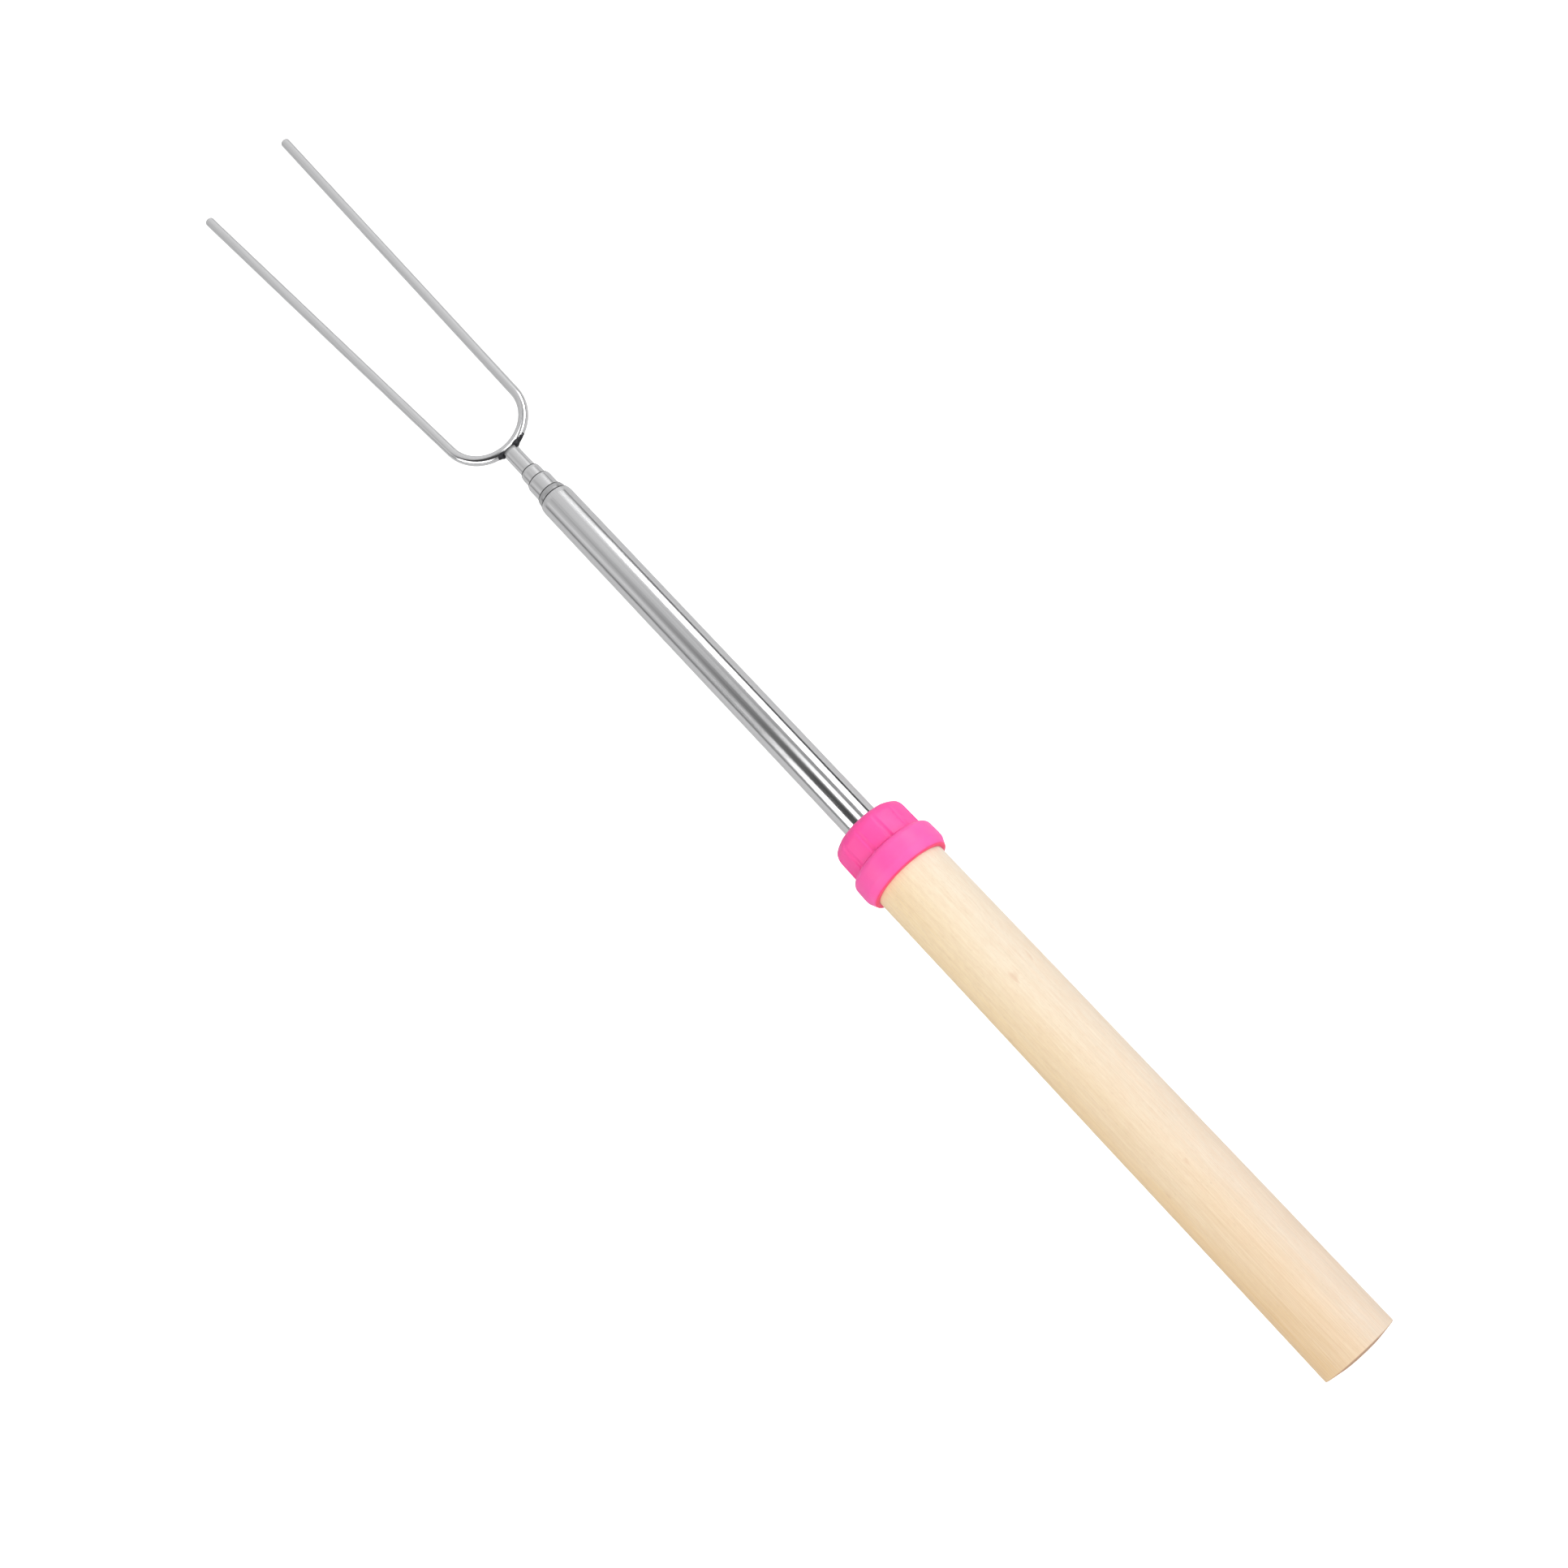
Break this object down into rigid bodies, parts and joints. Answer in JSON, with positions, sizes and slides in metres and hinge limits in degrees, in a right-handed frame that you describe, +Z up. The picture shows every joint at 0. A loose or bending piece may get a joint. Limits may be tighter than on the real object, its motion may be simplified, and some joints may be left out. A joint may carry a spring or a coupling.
{
  "type": "roasting fork",
  "caption": "Telescoping roasting fork: a bent wire fork on nested steel tubes that slide out of one another, a round wooden handle, and a thumb wheel that turns the fork.",
  "frame": {"origin": "middle of the flat butt face of the wooden handle", "axes": "+X along the shaft from the handle's butt to the fork, the prongs level in the XY plane, +Z up as the fork lies on a table; the tubes are pushed fully in"},
  "size_m": [0.3612, 0.0287, 0.0202],
  "materials": {
    "bare_wood": "pale, fine-grained hardwood, sanded and left bare",
    "pink_plastic": "moulded, bright pink, satin gloss",
    "white_nylon": "moulded, natural white",
    "tube_steel": "drawn stainless tube, polished",
    "spring_steel": "plain spring steel",
    "shim_brass": "thin sheet, plain",
    "weld_metal": "small weld, plated over",
    "wire_chrome": "round wire, bright plated"
  },
  "bodies": {
    "handle": {"handle_grip": "bare_wood", "handle_cuff": "pink_plastic", "bearing_sleeve": "white_nylon"},
    "turning_tube": {"outer_tube": "tube_steel", "thumb_wheel": "pink_plastic", "thrust_washer": "white_nylon", "retaining_clip": "spring_steel", "tube_end_plug": "white_nylon"},
    "first_slide": {"slide_tube_1": "tube_steel", "friction_shim_1_left": "shim_brass", "friction_shim_1_right": "shim_brass"},
    "second_slide": {"slide_tube_2": "tube_steel", "friction_shim_2_left": "shim_brass", "friction_shim_2_right": "shim_brass"},
    "third_slide": {"slide_tube_3": "tube_steel", "friction_shim_3_left": "shim_brass", "friction_shim_3_right": "shim_brass"},
    "tip_slide": {"tip_tube": "tube_steel", "friction_shim_4_left": "shim_brass", "friction_shim_4_right": "shim_brass", "weld_bead": "weld_metal", "fork_wire": "wire_chrome"}
  },
  "joints": [
    {"name": "fork_spin", "type": "hinge", "parent": "handle", "child": "turning_tube", "pos_m": [0, 0, 0], "axis": [1, 0, 0], "continuous": true},
    {"name": "slide_1", "type": "slide", "parent": "turning_tube", "child": "first_slide", "axis": [1, 0, 0], "range_m": [0, 0.1224]},
    {"name": "slide_2", "type": "slide", "parent": "first_slide", "child": "second_slide", "axis": [1, 0, 0], "range_m": [0, 0.1147]},
    {"name": "slide_3", "type": "slide", "parent": "second_slide", "child": "third_slide", "axis": [1, 0, 0], "range_m": [0, 0.1091]},
    {"name": "slide_4", "type": "slide", "parent": "third_slide", "child": "tip_slide", "axis": [1, 0, 0], "range_m": [0, 0.1029]}
  ]
}
